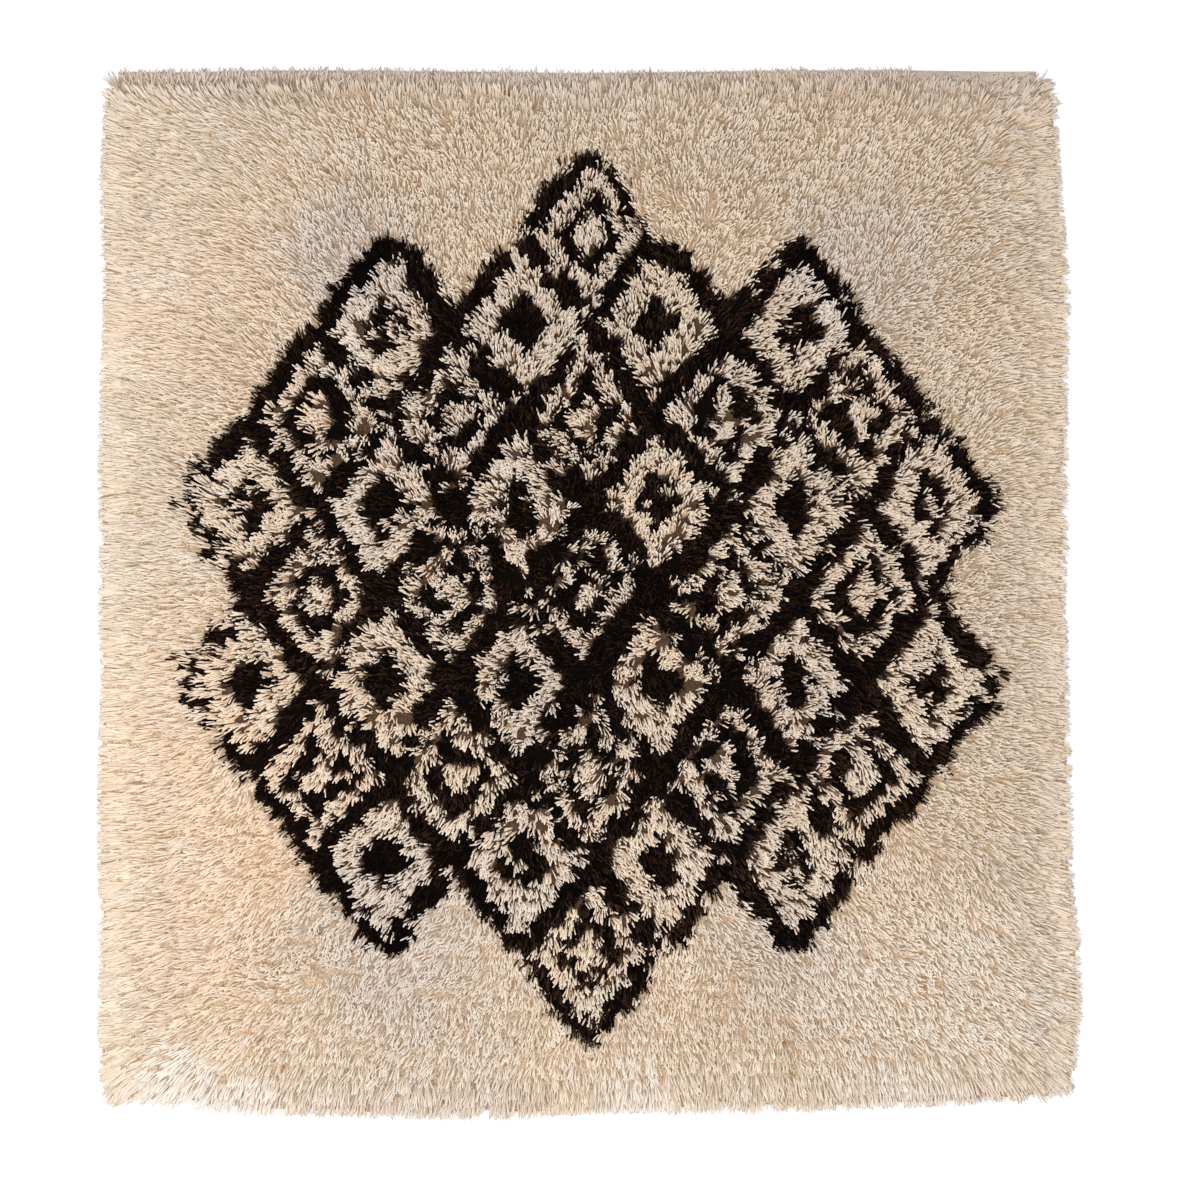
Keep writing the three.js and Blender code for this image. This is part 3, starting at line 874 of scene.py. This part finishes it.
def pile_part(name, tree, knots, chosen, yarn, material, seed):
    """One piece of the pile: the ends of yarn in the chosen knots."""
    height = np.full(chosen.sum(), CLOTH_THICKNESS)
    points = np.column_stack([knots["x"][chosen], knots["y"][chosen], height])
    mesh = new_mesh(name, points, [])
    for fact in KNOT_FACTS:
        give_numbers(mesh, fact, knots[fact][chosen])
    shape = yarn_end("yarn_end", yarn["rings"], yarn["pointed"])
    values = {
        "Yarn end": shape,
        "Ends per knot": yarn["ends"],
        "Knot width": 0.0047,
        "Knot depth": 0.0050,
        "Yarn radius": YARN_RADIUS,
        "Turn spread": 0.30,
        "Lean spread": 0.16,
        "Length spread": 0.08,
        "Sway": 0.35,
        "Drawn together": yarn["drawn"],
        "Row shade": ROW_SHADE,
        "Rim spread": UNEVEN_STRIP if name == "top_pile" else UNEVEN_RIM,
        "Map cells": (*MAP_CELLS, 1),
        "Seed": seed,
        "Material": material,
    }
    made = made_plain(grown(new_object(name, mesh), tree, values), HELPERS)
    bpy.data.objects.remove(shape)
    return made


def along_pile(knots, share):
    """The places that the pile of each knot reaches at a share of its length."""
    def run(start, end):
        return knots["length"] * (start * share + (end - start) * share**2 / 2)

    ahead = run(np.sin(knots["root_tilt"]), np.sin(knots["tip_tilt"]))
    ahead = np.minimum(ahead, knots["room"] * share)
    height = np.maximum(run(np.cos(knots["root_tilt"]), np.cos(knots["tip_tilt"])), 0.001)
    x = knots["x"] + np.cos(knots["azimuth"]) * ahead
    y = knots["y"] + np.sin(knots["azimuth"]) * ahead
    return np.column_stack([x, y, height])


def pile_bed(knots, material):
    """The lower part of the pile as one closed lumpy mat, which leans as the pile does and fills it."""
    rows, columns = knots["shape"]
    number = np.arange(rows * columns).reshape(rows, columns)
    quads = np.stack([number[:-1, :-1], number[:-1, 1:], number[1:, 1:], number[1:, :-1]], -1).reshape(-1, 4)
    rim = np.concatenate([number[0, :-1], number[:-1, -1], number[-1, :0:-1], number[:0:-1, 0]])
    outermost = np.isin(number.ravel(), rim) & ~knots["strip"]
    share = BED_SHARE[0] + (BED_SHARE[1] - BED_SHARE[0]) * knots["combed"] + BED_LIP * outermost
    share = np.where(knots["strip"] & (knots["row"] < rows - 1), STRIP_FOOT, share)
    points = along_pile(knots, share)
    points[:, 2] = CLOTH_THICKNESS + points[:, 2] * (1 - BED_SINK * knots["combed"] - BED_SINK * outermost)

    # Its foot stands on the lower hem and on the cloth, with a step in between
    hem_rows = np.count_nonzero(knots["y"][number[:, columns // 2]] < cloth_low.y + HEM_WIDTH + 0.006)
    foot_height = np.where(rim < hem_rows * columns, HEM_THICKNESS, CLOTH_THICKNESS) + 0.0003
    low = np.column_stack([knots["x"][rim], knots["y"][rim], foot_height])
    foot = len(points) + np.arange(len(rim))
    walls = np.column_stack([rim, foot, np.roll(foot, -1), np.roll(rim, -1)])
    right = columns - 1 + hem_rows
    on_hem = np.concatenate([foot[:right], foot[1 - hem_rows:]])
    on_middle = foot[right:len(foot) - hem_rows + 1]
    step = [foot[right - 1], foot[right], foot[-hem_rows], foot[1 - hem_rows]]
    faces = [*quads.tolist(), *walls.tolist(), on_hem[::-1].tolist(), on_middle[::-1].tolist(), step[::-1]]
    mesh = new_mesh("pile_bed", np.concatenate([points, low]), faces, smooth=False)
    for fact in ("brown", "inside", "greyed", "calm"):
        values = knots[fact].astype(float)
        give_numbers(mesh, fact, np.concatenate([values, values[rim]]))
    mesh.materials.append(material)
    return new_object("pile_bed", mesh)


def knotted_pile():
    """The whole pile as pieces: its bed, its rim, and its rows of cream, lozenge and brown knots."""
    yarn = yarn_group()
    cream, brown = cream_wool(yarn), brown_wool(yarn)
    knots = knot_field()
    tree = knotted_ends_tree()
    rim = knots["rim"]
    chance = np.random.default_rng(13).uniform(0, 0.5, len(rim))
    strip = knots["strip"]
    # The combed ends give way to upright ones bit by bit
    combed = ~rim & ~strip & (knots["combed"] > 0.05 + chance)
    field = ~rim & ~strip & ~combed

    # Each piece: its name, its knots, its kind of yarn ends, its material and its slot
    groups = [
        ("rim_pile", rim, YARN["rim"], cream, "cream_wool"),
        ("top_pile", strip, YARN["strip"], cream, "cream_wool"),
        ("combed_pile", combed, YARN["combed"], cream, "cream_wool"),
    ]
    kinds = {
        "cream": (field & ~knots["brown"] & ~knots["inside"], cream, "cream_wool"),
        "lozenge": (field & ~knots["brown"] & knots["inside"], cream, "cream_wool"),
        "brown": (field & knots["brown"], brown, "brown_wool"),
    }
    for kind, (of_kind, material, slot) in kinds.items():
        for part in range(PARTS[kind]):
            chosen = of_kind & (knots["row"] % PARTS[kind] == part)
            groups.append((f"{kind}_pile_{part + 1}", chosen, YARN[kind], material, slot))
    pieces = []
    for seed, (name, chosen, yarn_ends, material, slot) in enumerate(groups):
        piece = pile_part(name, tree, knots, chosen, yarn_ends, material, 100 * seed)
        pieces.append(piece)
    # The bed's colours are painted shade: each darker than the wool above it, darkest inside the drawing of
    # lozenges and lightest where the pile lies calmly
    shades = {
        "cream": (0.60, 0.475, 0.35, 1),
        "calm": (0.72, 0.575, 0.43, 1),
        "grey": (0.55, 0.46, 0.39, 1),
        "inside": (0.10, 0.065, 0.045, 1),
        "brown": (0.003, 0.002, 0.001, 1),
    }
    bed = pile_bed(knots, bed_wool("bed_wool", **shades))
    return [bed, *pieces]


# The ground cloth


def ground_cloth(material):
    """The woven cloth with a rolled hem at each end, lofted from its lengthwise section."""
    none = dict.fromkeys(SIDES, 0.0)
    # The section of a hem, as places inwards from the cloth's end with their heights
    end = [(0.0010, 0.0), (0.0002, 0.0009), (0.0, 0.0025), (0.0003, 0.0041), (0.0014, 0.0049)]
    end += [(0.014, HEM_THICKNESS), (0.026, 0.0049), (0.0277, 0.0044), (0.0285, 0.0031)]
    middle = np.linspace(-0.9, 0.9, 31)
    section = [(1, inset, height) for inset, height in end]
    section += [(v, 0.0, CLOTH_THICKNESS) for v in middle[::-1]]
    section += [(-1, inset, height) for inset, height in end[::-1]]
    section += [(v, 0.0, 0.0) for v in middle]
    v, inset, height = (np.array(column, float) for column in zip(*section))
    inner = np.linspace(-1, 1, CLOTH_STATIONS)
    near_selvedge = 0.998
    stations = np.concatenate([inner[:1], [-near_selvedge], inner[1:-1], [near_selvedge], inner[-1:]])
    points = []
    for number, u in enumerate(stations):
        x, y = on_cloth(np.full(len(v), u), v, none)
        y = y - np.sign(v) * inset
        lift = 0.0002 * drift(x, y, 0.05, 71.0) * (height > 0.0026)
        selvedge = number in (0, len(stations) - 1)
        z = np.where(selvedge, 0.3 * height + 0.0010, height + lift)
        points.append(np.column_stack([x, y, z]))
    ring = len(section)
    faces = []
    for station in range(len(stations) - 1):
        for k in range(ring):
            a, b = station * ring + k, station * ring + (k + 1) % ring
            faces.append((a, b, b + ring, a + ring))
    faces.append(tuple(range(ring))[::-1])
    last = (len(stations) - 1) * ring
    faces.append(tuple(last + k for k in range(ring)))
    mesh = new_mesh("ground_cloth_woven", np.concatenate(points), faces)
    mesh.materials.append(material)
    return new_object("ground_cloth_woven", mesh)


# The stage


def stage():
    """A large plain floor just under the rug."""
    size, height = 8.0, -0.0004
    signs = ((-1, -1), (1, -1), (1, 1), (-1, 1))
    corners = [(x * size, y * size, height) for x, y in signs]
    floor = new_object("floor", new_mesh("floor", corners, [(0, 1, 2, 3)]))
    floor.data.materials.append(plain_floor("plain_floor"))


def softbox(name, place, size, power):
    """A square lamp that faces the middle of the rug."""
    light = bpy.data.lights.new(name, "AREA")
    light.size = size
    light.energy = power
    lamp = new_object(name, light)
    lamp.location = place
    lamp.rotation_euler = (-Vector(place)).to_track_quat("-Z", "Y").to_euler()


def studio_light():
    """A lamp from the lower left and one overhead, in a bright room."""
    softbox("key", place=(-2.5, -1.3, 3.2), size=1.8, power=56)
    softbox("overhead", place=(0.0, -0.4, 4.3), size=2.4, power=130)
    world = bpy.data.worlds.new("room")
    world.use_nodes = True
    world.node_tree.nodes["Background"].inputs["Color"].default_value = (1, 1, 1, 1)
    world.node_tree.nodes["Background"].inputs["Strength"].default_value = 0.44
    bpy.context.scene.world = world
    bpy.context.scene.view_settings.view_transform = "Standard"


def camera():
    """The photograph's view, from straight above."""
    lens = bpy.data.cameras.new("camera")
    lens.sensor_width = 36
    lens.lens = lens.sensor_width * (CAMERA_HEIGHT - PILE_TOP) / PICTURE_WIDTH
    lens.clip_end = 100
    made = new_object("camera", lens)
    made.location = (*PICTURE_MIDDLE, CAMERA_HEIGHT)
    bpy.context.scene.camera = made


camera()
stage()
studio_light()
cloth = ground_cloth(ground_linen("ground_linen", weave_group()))
pile = knotted_pile()
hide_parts("ground_cloth")
for piece in pile:
    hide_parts("knotted_pile")
for piece in [cloth, *pile]:
    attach(piece, "root")
